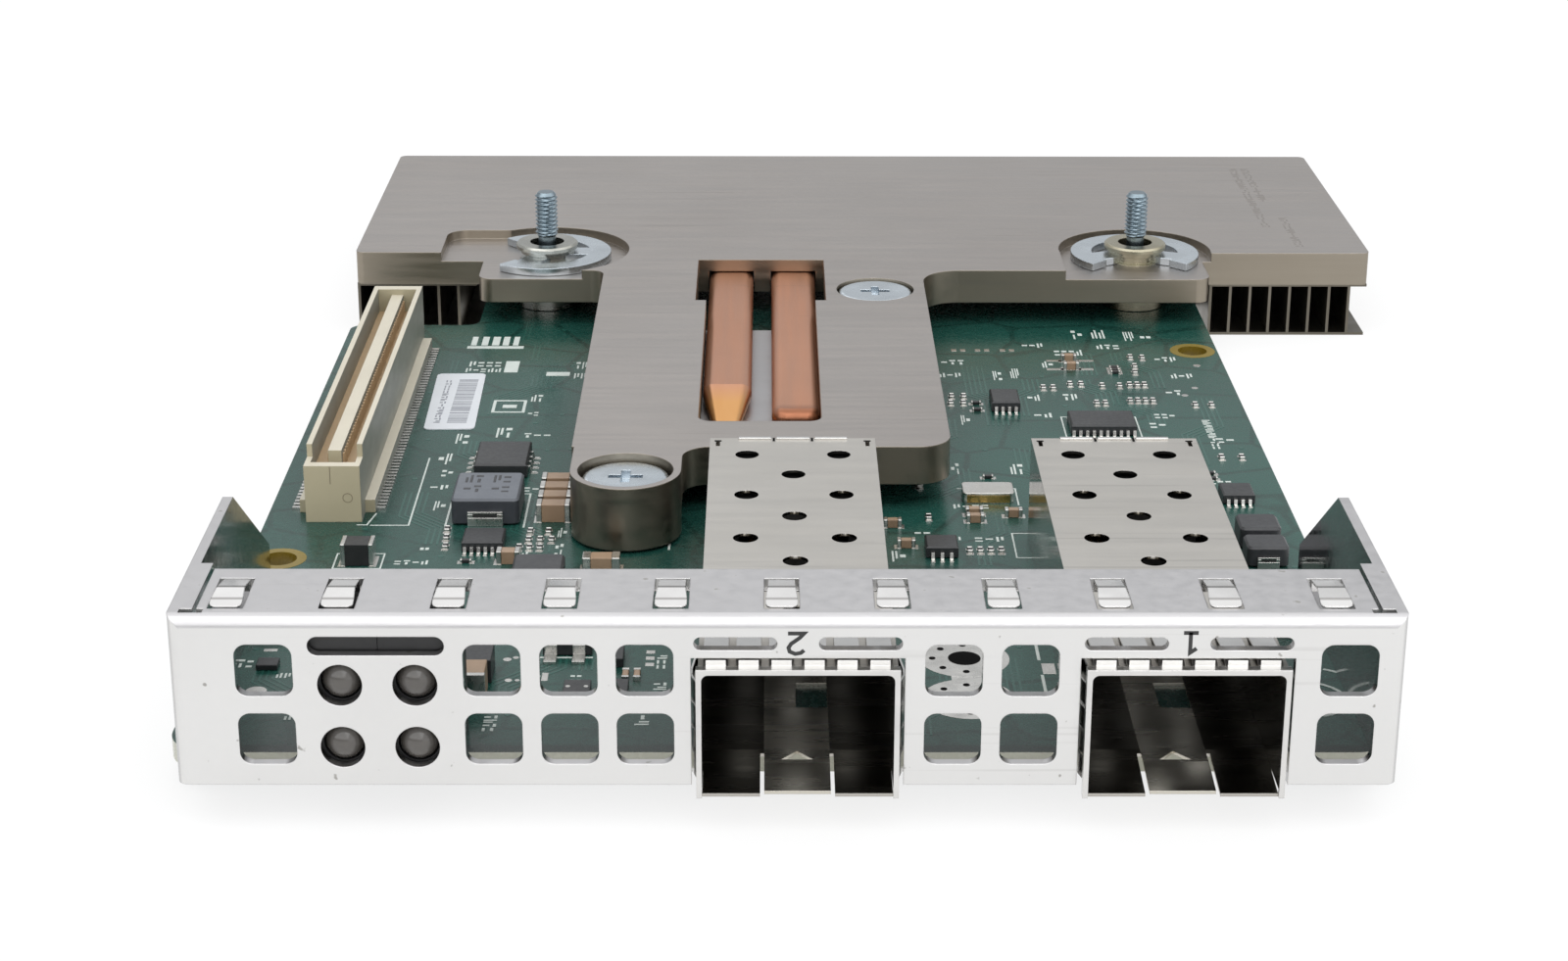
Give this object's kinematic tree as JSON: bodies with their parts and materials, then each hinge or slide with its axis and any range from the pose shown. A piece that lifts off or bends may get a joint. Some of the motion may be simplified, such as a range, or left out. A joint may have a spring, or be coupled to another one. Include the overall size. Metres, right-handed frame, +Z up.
{
  "type": "mezzanine network card",
  "caption": "Server network card with folded faceplate, cage ports, board connector, captive screws and a finned heat sink with heat pipes.",
  "frame": {"origin": "centre of the bounding box, on the plane that the fins and screw heads rest on", "axes": "+X along the faceplate, +Y from the faceplate back to the fins, +Z up from the component side"},
  "size_m": [0.1106, 0.1598, 0.0171],
  "materials": {
    "board_laminate": "glossy solder resist",
    "faceplate_steel": "satin zinc",
    "spring_steel": "bright",
    "cage_steel": "satin nickel",
    "black_plastic": "moulded",
    "gold_plate": "plated",
    "lamp_resin": "smoky, clear outside",
    "tinned_metal": "tinned",
    "sink_nickel": "nickel plated, satin",
    "fin_nickel": "nickel plated",
    "copper": "bare copper, dulled",
    "cold_plate_metal": "milled",
    "pad_rubber": "soft pad",
    "chip_body": "laminate and lid",
    "zinc_steel": "blue zinc",
    "bushing_nickel": "nickel plated",
    "bushing_brass": "dull",
    "ivory_plastic": "moulded",
    "label_paper": "blank label",
    "ferrite_grey": "pressed powder",
    "black_epoxy": "moulded",
    "crystal_can": "lid",
    "ceramic_tan": "fired",
    "resistor_black": "glazed"
  },
  "bodies": {
    "card": {"circuit_board": "board_laminate", "faceplate": "faceplate_steel", "flange_spring_strip": "spring_steel", "led_holders": "black_plastic", "led_lamps": "lamp_resin", "led_leads": "tinned_metal", "heat_sink_plate": "sink_nickel", "fin_stack": "fin_nickel", "heat_pipe_left": "copper", "heat_pipe_right": "copper", "cold_plate": "cold_plate_metal", "thermal_pad": "pad_rubber", "controller_chip": "chip_body", "heat_sink_screws": "zinc_steel", "heat_sink_nuts": "zinc_steel", "faceplate_screws": "zinc_steel", "mezzanine_connector": "ivory_plastic", "mezzanine_contacts": "gold_plate", "mezzanine_tails": "tinned_metal", "sticker": "label_paper", "power_choke": "ferrite_grey", "small_chokes": "ferrite_grey", "choke_terminals": "tinned_metal", "moulded_chips": "black_epoxy", "chip_leads": "tinned_metal", "crystal": "crystal_can", "polymer_capacitor": "black_epoxy", "bulk_capacitors": "ceramic_tan", "chip_capacitors": "ceramic_tan", "chip_resistors": "resistor_black", "underside_capacitors": "ceramic_tan", "port_cage_1": "cage_steel", "port_floor_1": "cage_steel", "port_collar_1": "spring_steel", "port_connector_1": "black_plastic", "port_contacts_1": "gold_plate", "port_cage_2": "cage_steel", "port_floor_2": "cage_steel", "port_collar_2": "spring_steel", "port_connector_2": "black_plastic", "port_contacts_2": "gold_plate"},
    "bushing_left": {"bushing_left": "bushing_nickel", "retaining_clip_left": "zinc_steel"},
    "screw_left": {"captive_screw_left": "zinc_steel"},
    "bushing_right": {"bushing_right": "bushing_brass", "retaining_clip_right": "zinc_steel"},
    "screw_right": {"captive_screw_right": "zinc_steel"}
  },
  "joints": [
    {"name": "bushing_left_turn", "type": "hinge", "parent": "card", "child": "bushing_left", "pos_m": [-0.03447, 0.0388, 0.00585], "axis": [0, 0, 1], "continuous": true},
    {"name": "screw_left_slide", "type": "slide", "parent": "bushing_left", "child": "screw_left", "axis": [0, 0, 1], "range_m": [-0.0058, 0]},
    {"name": "bushing_right_turn", "type": "hinge", "parent": "card", "child": "bushing_right", "pos_m": [0.02973, 0.0388, 0.00585], "axis": [0, 0, 1], "continuous": true},
    {"name": "screw_right_slide", "type": "slide", "parent": "bushing_right", "child": "screw_right", "axis": [0, 0, 1], "range_m": [-0.0058, 0]}
  ]
}
